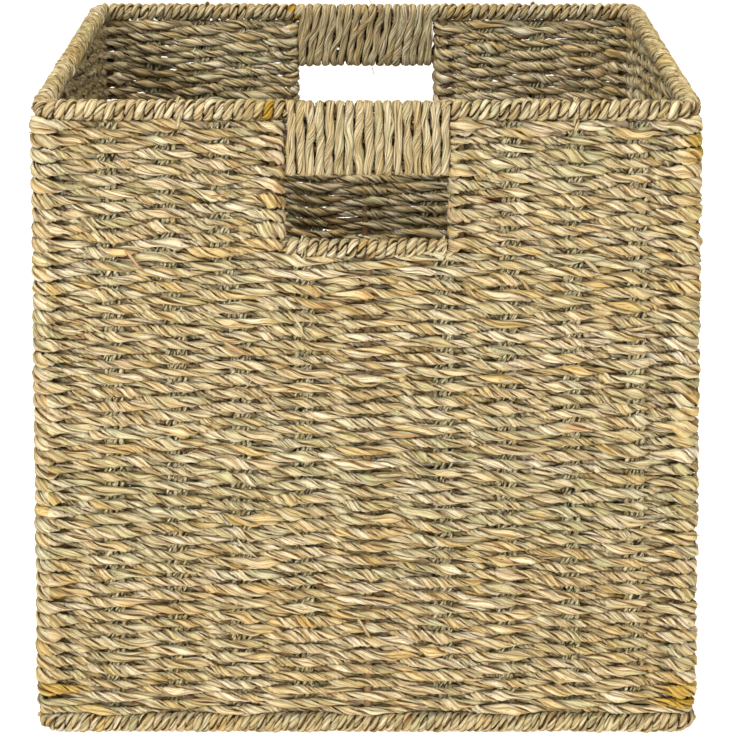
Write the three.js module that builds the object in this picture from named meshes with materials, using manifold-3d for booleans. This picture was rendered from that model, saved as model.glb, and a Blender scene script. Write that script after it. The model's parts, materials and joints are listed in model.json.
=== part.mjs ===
// Square seagrass storage basket: a wire frame, warp bundles, woven walls and bound edges.
// Millimetres, +Z up, origin at the middle of the face that stands on the floor, front towards -Y.

import * as THREE from 'three';
import { mergeVertices } from 'three/addons/utils/BufferGeometryUtils.js';
import Module from 'manifold-3d';

// Driving dimensions.
const HEIGHT = 310;
const RIM_WIDTH = 310; // over the bound rim
const BASE_WIDTH = 321; // over the bound bottom edge
const WIRE_RADIUS = 2;
const BINDING_RADIUS = 5; // wire and the cord bound round it
const CORNER_RADIUS = 8; // of the ring wires' centre lines
const CORNER_RUN = 2; // how far a corner's binding goes on past the turn
const WALL_THICKNESS = 9;
const WALL_CORNER_RADIUS = 7;
const GAP = 0.3; // between pieces that touch

const HOLE_WIDTH = 77;
const HOLE_BOTTOM = 245; // top of the sill binding
const HOLE_TOP = 274; // underside of the handle band

const WARP_WIDTH = 9;
const WARP_THICKNESS = 2.8;
const WARP_PITCH = 29.5;
const FIRST_LEFT_WARP = -117; // the bundle nearest a wall's left corner
const FIRST_RIGHT_WARP = 35.5; // the first bundle right of the wall's centre wire
const WARPS_PER_SIDE = 4;
const CENTRE_WIRE = 0.7; // a wall's middle wire, off the centre line
const LOWER_LEVEL = 2.8; // height of the front-to-back warps in the base
const UPPER_LEVEL = 6.6; // height of the left-to-right warps in the base

// Worked out from them.
const FRAME = RIM_WIDTH / 2 - BINDING_RADIUS; // wall centre line, from the basket's axis
const RIM_WIRE_HEIGHT = HEIGHT - BINDING_RADIUS;
const BASE_WIRE_HEIGHT = BINDING_RADIUS;
const SILL_WIRE_HEIGHT = HOLE_BOTTOM - BINDING_RADIUS;
const HANDLE_WIRE_HEIGHT = HOLE_TOP + BINDING_RADIUS;
const HANDHOLE_WIRE_OFFSET = HOLE_WIDTH / 2 + WALL_THICKNESS / 2;
const WALL_BOTTOM = 2 * BINDING_RADIUS + GAP;
const WALL_TOP = HEIGHT - 2 * BINDING_RADIUS - GAP;
const BASE_THICKNESS = 2 * BINDING_RADIUS;
const POST = FRAME - CORNER_RADIUS * (1 - Math.SQRT1_2);
const FLARE = BASE_WIDTH / RIM_WIDTH - 1;

const X_AXIS = new THREE.Vector3(1, 0, 0);
const Y_AXIS = new THREE.Vector3(0, 1, 0);
const Z_AXIS = new THREE.Vector3(0, 0, 1);

const wasm = await Module();
wasm.setup();

const BARE_WIRE = new THREE.MeshStandardMaterial({ color: 0xa9895c, roughness: 0.45, metalness: 0.6 });
const WEFT = new THREE.MeshStandardMaterial({ color: 0xb8a077, roughness: 0.8, metalness: 0 });
const WARP = new THREE.MeshStandardMaterial({ color: 0x9a9268, roughness: 0.85, metalness: 0 });
const BINDING = new THREE.MeshStandardMaterial({ color: 0xcbb88f, roughness: 0.75, metalness: 0 });

// --- booleans -------------------------------------------------------------------------------

function toManifold(geometry) {
  const bare = geometry.clone();
  bare.deleteAttribute('normal');
  bare.deleteAttribute('uv');
  const merged = mergeVertices(bare, 1e-4);
  return new wasm.Manifold(
    new wasm.Mesh({
      numProp: 3,
      vertProperties: new Float32Array(merged.attributes.position.array),
      triVerts: new Uint32Array(merged.index.array),
    }),
  );
}

function toGeometry(solid) {
  const mesh = solid.getMesh();
  const geometry = new THREE.BufferGeometry();
  geometry.setAttribute('position', new THREE.BufferAttribute(mesh.vertProperties, 3));
  geometry.setIndex(new THREE.BufferAttribute(mesh.triVerts, 1));
  return geometry;
}

// The body of a panel or binding, with room cut in it for every piece that it holds.
function bedded(geometry, cutters) {
  let solid = toManifold(geometry);
  for (const cutter of cutters) {
    solid = solid.subtract(toManifold(cutter));
  }
  return toGeometry(solid);
}

// --- sections and sweeps --------------------------------------------------------------------

function circleSection(radius, sides = 8) {
  return Array.from({ length: sides }, (_, i) => {
    const angle = ((i + 0.5) / sides) * 2 * Math.PI;
    return new THREE.Vector2(radius * Math.cos(angle), radius * Math.sin(angle));
  });
}

// The square-cornered slot for a strip with GAP round it.
function slotSection(thickness, width) {
  const x = thickness / 2 + GAP;
  const y = width / 2 + GAP;
  return [
    new THREE.Vector2(x, -y),
    new THREE.Vector2(x, y),
    new THREE.Vector2(-x, y),
    new THREE.Vector2(-x, -y),
  ];
}

// A flat strip with round edges: thick in the sweep's plane, wide across it.
function stripSection(thickness, width, edgeSteps = 3) {
  const radius = thickness / 2;
  const reach = width / 2 - radius;
  const points = [];
  for (const side of [1, -1]) {
    for (let i = 0; i <= edgeSteps; i++) {
      const angle = Math.PI * (i / edgeSteps);
      points.push(
        new THREE.Vector2(side * radius * Math.cos(angle), side * (reach + radius * Math.sin(angle))),
      );
    }
  }
  return points;
}

// Carries a section along a path that lies in one plane. Each section stands on the bisector of
// its two neighbours, so straight runs need no points between their ends.
function sweep(path, planeNormal, section, closed = false) {
  const count = path.length;
  const sides = section.length;
  const positions = [];
  const index = [];
  path.forEach((point, i) => {
    const before = closed || i > 0 ? path[(i + count - 1) % count] : point;
    const after = closed || i < count - 1 ? path[(i + 1) % count] : point;
    const arriving = point.clone().sub(before).normalize();
    const leaving = after.clone().sub(point).normalize();
    const tangent = arriving.clone().add(leaving).normalize();
    const across = new THREE.Vector3().crossVectors(planeNormal, tangent).normalize();
    const halfTurn = before === point || after === point ? 0 : arriving.angleTo(leaving) / 2;
    for (const corner of section) {
      const at = point.clone();
      at.addScaledVector(across, corner.x / Math.cos(halfTurn));
      at.addScaledVector(planeNormal, corner.y);
      positions.push(at.x, at.y, at.z);
    }
  });
  const spans = closed ? count : count - 1;
  for (let i = 0; i < spans; i++) {
    for (let j = 0; j < sides; j++) {
      const a = i * sides + j;
      const b = i * sides + ((j + 1) % sides);
      const c = ((i + 1) % count) * sides + j;
      const d = ((i + 1) % count) * sides + ((j + 1) % sides);
      index.push(a, b, d, a, d, c);
    }
  }
  if (!closed) {
    const last = (count - 1) * sides;
    for (let j = 1; j < sides - 1; j++) {
      index.push(0, j + 1, j);
      index.push(last, last + j, last + j + 1);
    }
  }
  const geometry = new THREE.BufferGeometry();
  geometry.setAttribute('position', new THREE.Float32BufferAttribute(positions, 3));
  geometry.setIndex(index);
  return geometry;
}

// --- paths ----------------------------------------------------------------------------------

// The ring's quarter turn at one corner, walked anticlockwise seen from above.
function cornerArc(quarter, height, steps = 4) {
  const centre = FRAME - CORNER_RADIUS;
  const start = (quarter * Math.PI) / 2;
  const signX = Math.sign(Math.cos(start + Math.PI / 4));
  const signY = Math.sign(Math.sin(start + Math.PI / 4));
  return Array.from({ length: steps + 1 }, (_, i) => {
    const angle = start + ((i / steps) * Math.PI) / 2;
    return new THREE.Vector3(
      signX * centre + CORNER_RADIUS * Math.cos(angle),
      signY * centre + CORNER_RADIUS * Math.sin(angle),
      height,
    );
  });
}

function ringPath(height) {
  return [0, 1, 2, 3].flatMap((quarter) => cornerArc(quarter, height));
}

// A wall is built facing the front and turned to its place: 0 front, 1 right, 2 back, 3 left.
function turned(geometry, wall) {
  return geometry.clone().rotateZ((wall * Math.PI) / 2);
}

function onFrontWall(x, z) {
  return new THREE.Vector3(x, -FRAME, z);
}

// --- wires ----------------------------------------------------------------------------------

// Every wire maker takes the radius, so that the same shape with GAP added cuts its bed.
function ringWire(height, radius) {
  return sweep(ringPath(height), Z_AXIS, circleSection(radius), true);
}

function cornerPost(signX, signY, radius, clearance) {
  const low = BASE_WIRE_HEIGHT + WIRE_RADIUS + GAP - clearance;
  const high = RIM_WIRE_HEIGHT - WIRE_RADIUS - GAP + clearance;
  const path = [
    new THREE.Vector3(signX * POST, signY * POST, low),
    new THREE.Vector3(signX * POST, signY * POST, high),
  ];
  return sweep(path, Y_AXIS, circleSection(radius));
}

function uprightWire(top, radius, clearance) {
  const low = BASE_WIRE_HEIGHT + WIRE_RADIUS + GAP - clearance;
  const high = top - WIRE_RADIUS - GAP + clearance;
  return sweep([onFrontWall(CENTRE_WIRE, low), onFrontWall(CENTRE_WIRE, high)], Y_AXIS, circleSection(radius));
}

// Down one side of the hand hole, along its sill and up the other side.
function handholeWire(radius, clearance) {
  const bend = BINDING_RADIUS;
  const top = RIM_WIRE_HEIGHT - WIRE_RADIUS - GAP + clearance;
  const steps = 4;
  const path = [onFrontWall(-HANDHOLE_WIRE_OFFSET, top)];
  for (let i = 0; i <= steps; i++) {
    const angle = ((i / steps) * Math.PI) / 2;
    path.push(
      onFrontWall(
        -HANDHOLE_WIRE_OFFSET + bend * (1 - Math.cos(angle)),
        SILL_WIRE_HEIGHT + bend * (1 - Math.sin(angle)),
      ),
    );
  }
  const otherSide = path.map((point) => onFrontWall(-point.x, point.z)).reverse();
  return sweep([...path, ...otherSide], Y_AXIS, circleSection(radius));
}

function handleWire(radius, clearance) {
  const reach = HANDHOLE_WIRE_OFFSET - WIRE_RADIUS - GAP + clearance;
  const path = [onFrontWall(-reach, HANDLE_WIRE_HEIGHT), onFrontWall(reach, HANDLE_WIRE_HEIGHT)];
  return sweep(path, Y_AXIS, circleSection(radius));
}

// The lower wire runs front to back and the upper one left to right, so that they cross clear.
function baseCrossWire(direction, radius, clearance) {
  const reach = FRAME - WIRE_RADIUS - GAP + clearance;
  const shift = WIRE_RADIUS + GAP / 2;
  const lower = direction === 'lower';
  const height = BASE_WIRE_HEIGHT + (lower ? -shift : shift);
  const end = (side) =>
    lower
      ? new THREE.Vector3(CENTRE_WIRE, side * reach, height)
      : new THREE.Vector3(side * reach, CENTRE_WIRE, height);
  return sweep([end(-1), end(1)], lower ? X_AXIS : Y_AXIS, circleSection(radius));
}

// --- warp bundles ---------------------------------------------------------------------------

function warpPlaces() {
  const places = [];
  for (const first of [FIRST_LEFT_WARP, FIRST_RIGHT_WARP]) {
    for (let i = 0; i < WARPS_PER_SIDE; i++) {
      places.push(first + i * WARP_PITCH);
    }
  }
  return places;
}

// Down one wall, inside the base wire, across the base and up the opposite wall.
function warpBundle(place, direction, section) {
  const lengthwise = direction === 'long';
  const level = lengthwise ? LOWER_LEVEL : UPPER_LEVEL;
  const endsAtSill = lengthwise && Math.abs(place) < HANDHOLE_WIRE_OFFSET;
  const top = (endsAtSill ? SILL_WIRE_HEIGHT - BINDING_RADIUS : HEIGHT - 2 * BINDING_RADIUS) - 2 * GAP;
  const bendHeight = 26;
  const bendReach = 14;
  const bend = new THREE.CubicBezierCurve(
    new THREE.Vector2(FRAME, bendHeight),
    new THREE.Vector2(FRAME, bendHeight / 2 - 1),
    new THREE.Vector2(FRAME - bendReach / 2, level),
    new THREE.Vector2(FRAME - bendReach, level),
  );
  const half = [new THREE.Vector2(FRAME, top), ...bend.getPoints(5)];
  const outline = [...half, ...half.map((p) => new THREE.Vector2(-p.x, p.y)).reverse()];
  const path = outline.map((p) =>
    lengthwise ? new THREE.Vector3(place, -p.x, p.y) : new THREE.Vector3(-p.x, place, p.y),
  );
  return sweep(path, lengthwise ? X_AXIS : Y_AXIS, section(WARP_THICKNESS, WARP_WIDTH));
}

// --- bindings -------------------------------------------------------------------------------

const bindingSection = () => circleSection(BINDING_RADIUS, 12);

// Where the front edge's binding stops on a side: sign is -1 on the left and 1 on the right.
function bindingStop(sign, height) {
  return new THREE.Vector3(sign * FRAME, -FRAME + CORNER_RADIUS + CORNER_RUN, height);
}

// The right part of the front rim, from the hand hole round the corner.
function rimCornerBinding() {
  const height = RIM_WIRE_HEIGHT;
  const start = new THREE.Vector3(HOLE_WIDTH / 2, -FRAME, height);
  const path = [start, ...cornerArc(3, height), bindingStop(1, height)];
  return sweep(path, Z_AXIS, bindingSection());
}

// The front bottom edge with both its corners.
function baseEdgeBinding() {
  const height = BASE_WIRE_HEIGHT;
  const corners = [...cornerArc(2, height), ...cornerArc(3, height)];
  return sweep([bindingStop(-1, height), ...corners, bindingStop(1, height)], Z_AXIS, bindingSection());
}

function sideBinding(height) {
  const reach = FRAME - CORNER_RADIUS - CORNER_RUN - GAP;
  const path = [new THREE.Vector3(FRAME, -reach, height), new THREE.Vector3(FRAME, reach, height)];
  return sweep(path, Z_AXIS, bindingSection());
}

function mirrored(geometry) {
  const copy = geometry.clone().scale(-1, 1, 1);
  const index = copy.index.array;
  for (let i = 0; i < index.length; i += 3) {
    [index[i], index[i + 1]] = [index[i + 1], index[i]];
  }
  return copy;
}

function sillBinding() {
  const reach = HOLE_WIDTH / 2 - GAP;
  const path = [onFrontWall(-reach, SILL_WIRE_HEIGHT), onFrontWall(reach, SILL_WIRE_HEIGHT)];
  return sweep(path, Y_AXIS, bindingSection());
}

// A tall band round both the rim wire and the handle wire.
function handleBand() {
  const reach = HOLE_WIDTH / 2 - GAP;
  const middle = (HANDLE_WIRE_HEIGHT + RIM_WIRE_HEIGHT) / 2;
  const path = [onFrontWall(-reach, middle), onFrontWall(reach, middle)];
  const tall = HEIGHT - HOLE_TOP;
  return sweep(path, Z_AXIS, stripSection(2 * BINDING_RADIUS, tall, 6));
}

// --- woven panels ---------------------------------------------------------------------------

function extrudedUp(shape, low, high) {
  return new THREE.ExtrudeGeometry(shape, { depth: high - low, bevelEnabled: false, curveSegments: 4 })
    .translate(0, 0, low);
}

// The front and back panels reach round the corner posts; their outer edges are rounded.
function longPanel() {
  const outer = FRAME + WALL_THICKNESS / 2;
  const inner = FRAME - WALL_THICKNESS / 2;
  const turn = WALL_CORNER_RADIUS;
  const plan = new THREE.Shape();
  plan.moveTo(-outer, -inner);
  plan.lineTo(-outer, -outer + turn);
  plan.absarc(-outer + turn, -outer + turn, turn, Math.PI, 1.5 * Math.PI, false);
  plan.absarc(outer - turn, -outer + turn, turn, 1.5 * Math.PI, 2 * Math.PI, false);
  plan.lineTo(outer, -inner);
  plan.closePath();
  return extrudedUp(plan, WALL_BOTTOM, WALL_TOP);
}

// The left and right panels stand between the long ones.
function shortPanel() {
  const reach = FRAME - WALL_THICKNESS / 2 - GAP;
  const box = new THREE.BoxGeometry(2 * reach, WALL_THICKNESS, WALL_TOP - WALL_BOTTOM);
  return box.translate(0, -FRAME, (WALL_TOP + WALL_BOTTOM) / 2);
}

// The space in a long panel for the sill binding, the hand hole and the handle band.
function handholeCutter() {
  const low = HOLE_BOTTOM - 2 * BINDING_RADIUS - GAP;
  const box = new THREE.BoxGeometry(HOLE_WIDTH, 4 * WALL_THICKNESS, HEIGHT - low);
  return box.translate(0, -FRAME, (HEIGHT + low) / 2);
}

// A square with round corners, inside the bound bottom edge.
function basePanel() {
  const reach = FRAME - BINDING_RADIUS - GAP;
  const middle = reach - CORNER_RADIUS;
  const plan = new THREE.Shape();
  for (let quarter = 0; quarter < 4; quarter++) {
    const start = (quarter * Math.PI) / 2;
    const signX = quarter === 0 || quarter === 3 ? 1 : -1;
    const signY = quarter < 2 ? 1 : -1;
    plan.absarc(signX * middle, signY * middle, CORNER_RADIUS, start, start + Math.PI / 2, false);
  }
  return extrudedUp(plan, 0, BASE_THICKNESS);
}

// --- assembly -------------------------------------------------------------------------------

const basket = new THREE.Group();
const clearances = [];

// The walls lean out evenly from the rim to the wider bottom edge.
function flared(geometry) {
  const copy = geometry.clone();
  const position = copy.attributes.position;
  for (let i = 0; i < position.count; i++) {
    const scale = 1 + FLARE * (1 - position.getZ(i) / HEIGHT);
    position.setX(i, position.getX(i) * scale);
    position.setY(i, position.getY(i) * scale);
  }
  copy.computeVertexNormals();
  return copy;
}

function add(name, geometry, material) {
  const mesh = new THREE.Mesh(flared(geometry), material);
  mesh.name = name;
  basket.add(mesh);
}

// Adds a wire or warp, and keeps the room that it needs. make(extra) gives it grown by extra.
function addInner(name, make, material) {
  add(name, make(0), material);
  clearances.push(make(GAP));
}

function addOuter(name, geometry, material, cutters = []) {
  add(name, bedded(geometry, [...clearances, ...cutters]), material);
}

const wireRadius = (extra) => WIRE_RADIUS + extra;

addInner('rim_wire', (extra) => ringWire(RIM_WIRE_HEIGHT, wireRadius(extra)), BARE_WIRE);
addInner('base_wire', (extra) => ringWire(BASE_WIRE_HEIGHT, wireRadius(extra)), BARE_WIRE);
for (const [name, signX, signY] of [
  ['front_left', -1, -1],
  ['front_right', 1, -1],
  ['back_left', -1, 1],
  ['back_right', 1, 1],
]) {
  addInner(`corner_post_${name}`, (extra) => cornerPost(signX, signY, wireRadius(extra), extra), BARE_WIRE);
}

['front', 'right', 'back', 'left'].forEach((wall, turn) => {
  const hasHole = turn % 2 === 0;
  const top = hasHole ? SILL_WIRE_HEIGHT : RIM_WIRE_HEIGHT;
  const place = (make) => (extra) => turned(make(wireRadius(extra), extra), turn);
  addInner(`${wall}_upright_wire`, place((radius, extra) => uprightWire(top, radius, extra)), BARE_WIRE);
  if (hasHole) {
    addInner(`${wall}_handhole_wire`, place(handholeWire), BARE_WIRE);
    addInner(`${wall}_handle_wire`, place(handleWire), BARE_WIRE);
  }
});
for (const level of ['lower', 'upper']) {
  addInner(
    `base_cross_wire_${level}`,
    (extra) => baseCrossWire(level, wireRadius(extra), extra),
    BARE_WIRE,
  );
}

for (const direction of ['long', 'cross']) {
  warpPlaces().forEach((place, i) => {
    addInner(
      `${direction}_warp_${i + 1}`,
      (extra) => warpBundle(place, direction, extra ? slotSection : stripSection),
      WARP,
    );
  });
}

const rimCorner = rimCornerBinding();
['front', 'right', 'back', 'left'].forEach((wall, turn) => {
  const place = (geometry) => turned(geometry, turn);
  if (turn % 2 === 0) {
    addOuter(`${wall}_rim_wrap_${turn ? 'left' : 'right'}`, place(rimCorner), BINDING);
    addOuter(`${wall}_rim_wrap_${turn ? 'right' : 'left'}`, place(mirrored(rimCorner)), BINDING);
    addOuter(`${wall}_base_wrap`, place(baseEdgeBinding()), BINDING);
    addOuter(`${wall}_handle_wrap`, place(handleBand()), BINDING);
    addOuter(`${wall}_sill_wrap`, place(sillBinding()), BINDING);
    addOuter(`${wall}_weave`, place(longPanel()), WEFT, [place(handholeCutter())]);
  } else {
    const facing = Math.PI / 2;
    addOuter(`${wall}_rim_wrap`, place(sideBinding(RIM_WIRE_HEIGHT).rotateZ(-facing)), BINDING);
    addOuter(`${wall}_base_wrap`, place(sideBinding(BASE_WIRE_HEIGHT).rotateZ(-facing)), BINDING);
    addOuter(`${wall}_weave`, place(shortPanel()), WEFT);
  }
});
addOuter('base_weave', basePanel(), WEFT);

export default basket;
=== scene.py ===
"""Square seagrass storage basket, cord by cord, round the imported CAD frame.

Every weft row, warp cord and binding is a real rope: plies twisted round a path. Lengths in the
making are millimetres in the row frame; meshes are made in metres.
"""

import json
import math
from collections import namedtuple

import bpy
import numpy as np
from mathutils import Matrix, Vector


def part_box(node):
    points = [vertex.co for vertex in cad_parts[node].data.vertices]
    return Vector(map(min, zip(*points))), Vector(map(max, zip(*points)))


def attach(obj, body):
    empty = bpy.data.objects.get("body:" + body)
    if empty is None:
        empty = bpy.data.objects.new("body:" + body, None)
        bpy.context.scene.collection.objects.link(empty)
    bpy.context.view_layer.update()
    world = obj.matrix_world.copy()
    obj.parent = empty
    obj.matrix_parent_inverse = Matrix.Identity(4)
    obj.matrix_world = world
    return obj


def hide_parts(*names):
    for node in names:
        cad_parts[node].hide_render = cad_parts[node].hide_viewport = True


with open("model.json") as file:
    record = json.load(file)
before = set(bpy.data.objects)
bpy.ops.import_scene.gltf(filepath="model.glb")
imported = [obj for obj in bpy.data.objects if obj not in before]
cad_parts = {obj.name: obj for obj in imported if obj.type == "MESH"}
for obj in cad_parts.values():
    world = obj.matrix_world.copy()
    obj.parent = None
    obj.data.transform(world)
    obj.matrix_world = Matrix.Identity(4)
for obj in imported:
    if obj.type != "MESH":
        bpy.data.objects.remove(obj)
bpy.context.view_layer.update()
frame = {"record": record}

MM = 0.001
rng = np.random.default_rng(58)

WALLS = ("front", "right", "back", "left")

# --- places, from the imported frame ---


def box_mm(node):
    """Lowest and highest corner of a CAD node, in millimetres."""
    low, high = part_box(node)
    return np.array(low) / MM, np.array(high) / MM


def middle_mm(node):
    low, high = box_mm(node)
    return (low + high) / 2


WIRE_RADIUS = 2.0
HEIGHT = box_mm("front_handle_wrap")[1][2]
HOLE_HALF = box_mm("front_sill_wrap")[1][0]
RIM_Z = middle_mm("rim_wire")[2]
BASE_Z = middle_mm("base_wire")[2]
SILL_Z = middle_mm("front_sill_wrap")[2]
HANDLE_Z = middle_mm("front_handle_wire")[2]
BINDING_RADIUS = HEIGHT - RIM_Z
RIM_HALF = box_mm("rim_wire")[1][0] - WIRE_RADIUS
BASE_HALF = box_mm("base_wire")[1][0] - WIRE_RADIUS
CORNER_RADIUS = 8.0  # of the ring wires
POST = RIM_HALF - CORNER_RADIUS * (1 - math.sqrt(0.5))
WARP_WIDTH = 9.0


def warp_place(node, axis):
    """How far a bundle stands from the wall's middle, at rim size."""
    low, high = box_mm(node)
    if low[axis] > 0:
        return low[axis] + WARP_WIDTH / 2
    return high[axis] - WARP_WIDTH / 2


def flare(z):
    """The walls lean out evenly from the rim wire to the wider base wire."""
    return 1 + (BASE_HALF / RIM_HALF - 1) * (RIM_Z - z) / (RIM_Z - BASE_Z)


HOLE_WIRE = box_mm("front_handhole_wire")[1][0] / flare(SILL_Z) - WIRE_RADIUS
LONG_PLACES = [warp_place(f"long_warp_{i}", 0) for i in range(1, 9)]
CROSS_PLACES = [warp_place(f"cross_warp_{i}", 1) for i in range(1, 9)]
CENTRE_WIRE = middle_mm("front_upright_wire")[0]

# --- camera, light and floor ---


def add_object(name, data):
    thing = bpy.data.objects.new(name, data)
    bpy.context.scene.collection.objects.link(thing)
    return thing


def make_camera():
    """Straight on to the front, from a little above, through a long lens."""
    data = bpy.data.cameras.new("camera")
    data.sensor_width = 36
    data.lens = 139.2
    data.shift_x = 0.002
    data.shift_y = -0.04
    camera = add_object("camera", data)
    camera.location = (0, -1.440, 0.545)
    camera.rotation_euler = (math.radians(90 - 15.13), 0, 0)
    bpy.context.scene.camera = camera


LIT_POINT = Vector((0, 0, 0.15))
COOL, WARM = (0.94, 1, 1.13), (1.04, 0.98, 0.85)


def area_light(name, place, size, power, colour):
    """A round soft light at a place, aimed at the basket's middle."""
    data = bpy.data.lights.new(name, "AREA")
    data.shape = "DISK"
    data.size = size
    data.energy = power
    data.color = colour
    lamp = add_object(name, data)
    lamp.location = place
    aim = LIT_POINT - Vector(place)
    lamp.rotation_euler = aim.to_track_quat("-Z", "Y").to_euler()


def make_studio():
    """A dim warm surround, a key light on the left, a fill light on the right and one above."""
    scene = bpy.context.scene
    scene.view_settings.view_transform = "Standard"
    world = bpy.data.worlds.new("studio")
    scene.world = world
    world.use_nodes = True
    background = world.node_tree.nodes["Background"]
    background.inputs["Color"].default_value = (1, 0.85, 0.56, 1)
    background.inputs["Strength"].default_value = 0.23
    area_light("key", (-1.25, -1.75, 1.2), 0.7, 46, COOL)
    area_light("fill", (1.2, -1.6, 1.1), 0.9, 23, COOL)
    area_light("overhead", (-0.15, -0.3, 2.0), 0.7, 34, WARM)


def pale_floor_material():
    material = bpy.data.materials.new("pale_floor")
    material.use_nodes = True
    shader = material.node_tree.nodes["Principled BSDF"]
    shader.inputs["Base Color"].default_value = (0.92, 0.92, 0.92, 1)
    shader.inputs["Roughness"].default_value = 0.8
    shader.inputs["Emission Color"].default_value = (1, 0.93, 0.88, 1)
    shader.inputs["Emission Strength"].default_value = 0.80
    return material


def make_floor():
    mesh = bpy.data.meshes.new("floor")
    reach = 6
    corners = [(-reach, -reach, 0), (reach, -reach, 0), (reach, reach, 0), (-reach, reach, 0)]
    mesh.from_pydata(corners, [], [(0, 1, 2, 3)])
    mesh.materials.append(pale_floor_material())
    floor = add_object("floor", mesh)


make_camera()
make_studio()
make_floor()

# --- materials ---


class Nodes:
    """A little help for writing node trees."""

    def __init__(self, name):
        self.material = bpy.data.materials.new(name)
        self.material.use_nodes = True
        self.tree = self.material.node_tree
        self.shader = self.tree.nodes["Principled BSDF"]

    def put(self, value, socket):
        """Links a socket to this one or sets its value. None leaves it as it is."""
        if isinstance(value, bpy.types.NodeSocket):
            self.tree.links.new(value, socket)
        elif value is not None:
            socket.default_value = value

    def surface(self, name, value):
        self.put(value, self.shader.inputs[name])

    def new(self, kind, **values):
        """A new node, with the named inputs linked or set."""
        node = self.tree.nodes.new("ShaderNode" + kind)
        for name, value in values.items():
            self.put(value, node.inputs[name])
        return node

    def attribute(self, name, output):
        node = self.new("Attribute")
        node.attribute_name = name
        return node.outputs[output]

    def noise(self, place, scale, offset=(0, 0, 0), detail=2, roughness=0.5):
        """Noise over a place that is first scaled by its three axes and then shifted."""
        space = self.new("Mapping", Vector=place, Scale=scale, Location=offset).outputs["Vector"]
        node = self.new("TexNoise", Vector=space, Scale=1.0, Detail=detail, Roughness=roughness)
        return node.outputs["Fac"]

    def ramp(self, value, stops):
        node = self.new("ValToRGB", Fac=value)
        while len(node.color_ramp.elements) < len(stops):
            node.color_ramp.elements.new(1.0)
        for element, (place, colour) in zip(node.color_ramp.elements, stops):
            element.position = place
            element.color = colour
        return node.outputs["Color"]

    def mix(self, factor, a, b, blend="MIX"):
        node = self.new("Mix")
        node.data_type = "RGBA"
        node.blend_type = blend
        self.put(factor, node.inputs["Factor"])
        self.put(a, node.inputs[6])
        self.put(b, node.inputs[7])
        return node.outputs[2]

    def maths(self, operation, a, b):
        node = self.new("Math")
        node.operation = operation
        self.put(a, node.inputs[0])
        self.put(b, node.inputs[1])
        return node.outputs[0]

    def bump(self, height, strength, distance, normal=None):
        node = self.new("Bump", Height=height, Strength=strength, Distance=distance, Normal=normal)
        return node.outputs["Normal"]


def srgb(red, green, blue):
    """A linear colour from the usual 0 to 255 values."""
    return tuple((c / 255) ** 2.2 for c in (red, green, blue)) + (1.0,)


def grey(value):
    return (value, value, value, 1.0)


# Colours that multiply the blades: streaks along a ply, and dark lines where blades meet.
STREAKS = [
    (0.32, srgb(190, 161, 112)),
    (0.48, srgb(249, 245, 238)),
    (0.68, (0.97, 0.99, 1.05, 1.0)),
]
SPLIT_LINES = [
    (0.40, grey(1)),
    (0.425, srgb(132, 96, 46)),
    (0.45, grey(1)),
    (0.54, grey(1)),
    (0.56, srgb(124, 90, 42)),
    (0.585, grey(1)),
]


GREEN_BLADE, PINK_BLADE, ORANGE_BLADE = srgb(166, 167, 128), srgb(208, 160, 120), srgb(192, 132, 58)
# FLECK is the colour of dark specks in the stalks. The second colour is painted shade, the brown that
# creases and recesses take in shadow.
FLECK, PAINTED_SHADE_BROWN = srgb(124, 86, 38), srgb(112, 72, 14)


def seagrass_material(name, blade_tones, green=0.55, shade=1.0):
    """Dried grass blades twisted into a ply. The attribute fibre holds a place in the ply, in
    millimetres: two across it and one along it. The attribute cavity is painted shade: it is 1 deep in a
    crease, between plies or deep in the wall, where the cord would lie in shadow. The attribute tint is
    a blade's own colour, with its share in the alpha."""
    n = Nodes(name)
    fibre = n.attribute("fibre", "Vector")
    patch = n.noise(fibre, (0.10, 0.10, 0.03))
    blade = n.noise(fibre, (0.75, 0.75, 0.03), (31, 7, 3), 3, 0.6)
    strand = n.noise(fibre, (3.2, 3.2, 0.07), (5, 51, 9), 3, 0.65)
    speck = n.noise(fibre, (1.6, 1.6, 0.4), (71, 17, 29), 4, 0.7)
    split = n.noise(fibre, (1.5, 1.5, 0.035), (23, 37, 61), 1)

    tone = n.maths("ADD", n.maths("MULTIPLY", patch, 0.45), n.maths("MULTIPLY", blade, 0.55))
    colour = n.ramp(tone, blade_tones)
    odd_blades = [
        (GREEN_BLADE, green, 0.50, 0.64, (0.3, 0.3, 0.02), (3, 91, 57)),
        (PINK_BLADE, 0.1, 0.54, 0.66, (0.4, 0.4, 0.03), (43, 9, 77)),
        (ORANGE_BLADE, 0.32, 0.65, 0.73, (0.4, 0.4, 0.05), (11, 63, 15)),
    ]
    for odd, most, low, high, scale, offset in odd_blades:
        share = n.ramp(n.noise(fibre, scale, offset, 1), [(low, grey(0)), (high, grey(most))])
        colour = n.mix(share, colour, odd)
    colour = n.mix(n.attribute("tint", "Alpha"), colour, n.attribute("tint", "Color"))

    # Painted shade: the shade attribute darkens the colour towards a dark brown in creases, between
    # plies and deep in the wall.
    crease = n.maths("POWER", n.attribute("painted_shade", "Fac"), 1.4)
    shades = [
        (1.0, n.ramp(strand, STREAKS)),
        (0.7, n.ramp(speck, [(0.30, FLECK), (0.40, grey(1))])),
        (0.8, n.ramp(split, SPLIT_LINES)),
        (1.0, n.mix(n.maths("MULTIPLY", crease, 0.97), grey(1), PAINTED_SHADE_BROWN)),
        (1.0, grey(shade)),
    ]
    for share, tint in shades:
        colour = n.mix(share, colour, tint, "MULTIPLY")
    n.surface("Base Color", colour)
    n.surface("Roughness", n.ramp(strand, [(0.3, grey(0.85)), (0.7, grey(0.55))]))
    n.surface("Specular IOR Level", 0.1)
    n.surface("Normal", n.bump(strand, 0.8, 0.0003, n.bump(blade, 0.9, 0.0007)))
    return n.material


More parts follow.
